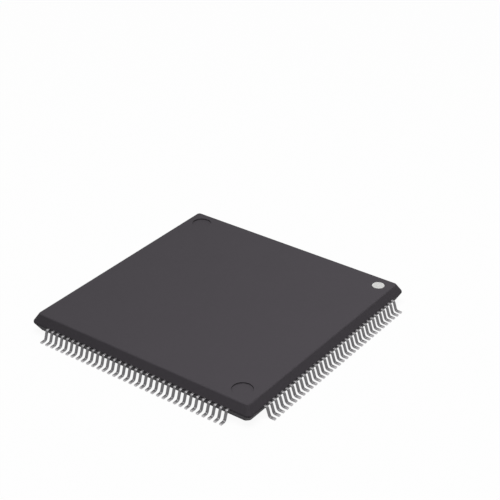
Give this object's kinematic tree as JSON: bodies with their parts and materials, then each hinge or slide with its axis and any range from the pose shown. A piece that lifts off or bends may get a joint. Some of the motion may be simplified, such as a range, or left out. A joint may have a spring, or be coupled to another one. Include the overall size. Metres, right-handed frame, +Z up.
{
  "type": "quad flat pack chip",
  "caption": "Square low-profile flat pack: a thin dark moulded body with gull-wing leads along every side and a pale round dot in one corner of its top.",
  "frame": {"origin": "on the seating plane, under the middle of the body", "axes": "+Z up out of the board, +X and +Y along the sides of the body, with the pin-one dot in the +X +Y corner of the top face"},
  "size_m": [0.0218, 0.0218, 0.0015],
  "materials": {
    "mould_resin": "moulded, fine matte grain",
    "plated_lead": "matte tin plate",
    "bare_copper_alloy": "stamped sheet",
    "amber_film": "polyimide tape",
    "silver_adhesive": "cured paste",
    "silicon": "polished",
    "gold_wire": "drawn wire",
    "marking_ink": "flat pale ink"
  },
  "bodies": {
    "root": {"moulded_body": "mould_resin", "leads_front": "plated_lead", "leads_right": "plated_lead", "leads_back": "plated_lead", "leads_left": "plated_lead", "die_pad": "bare_copper_alloy", "lead_tape": "amber_film", "die_attach": "silver_adhesive", "silicon_die": "silicon", "bond_wires_front": "gold_wire", "bond_wires_right": "gold_wire", "bond_wires_back": "gold_wire", "bond_wires_left": "gold_wire", "pin_one_dot": "marking_ink"}
  },
  "joints": []
}
